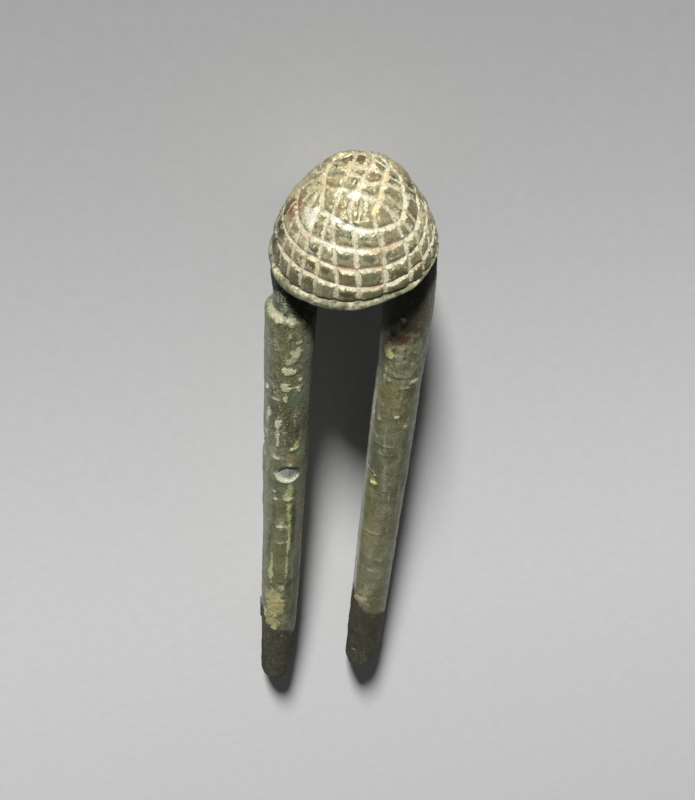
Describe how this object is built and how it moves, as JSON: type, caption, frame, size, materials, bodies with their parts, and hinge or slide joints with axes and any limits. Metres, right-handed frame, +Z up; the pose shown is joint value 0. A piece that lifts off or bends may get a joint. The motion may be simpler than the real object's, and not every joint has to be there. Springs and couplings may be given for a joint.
{
  "type": "topknot pin",
  "caption": "Two-legged bronze hairpin with a domed head under an incised lattice and a plain rim, for holding a topknot; lying on its back.",
  "frame": {"origin": "centre of the underside of the lying pin's bounding box", "axes": "+Y from the leg tips toward the domed head, +Z up from the floor through the pin's front, +X toward the right leg as the front is looked at with the head up"},
  "size_m": [0.0152, 0.0762, 0.0142],
  "materials": {
    "aged_bronze": "excavated cast bronze: dull olive to grey-green patina on the legs, brown and golden tan on the head, pale earthy deposit in the incised lines"
  },
  "bodies": {
    "root": {"topknot_pin": "aged_bronze"}
  },
  "joints": []
}
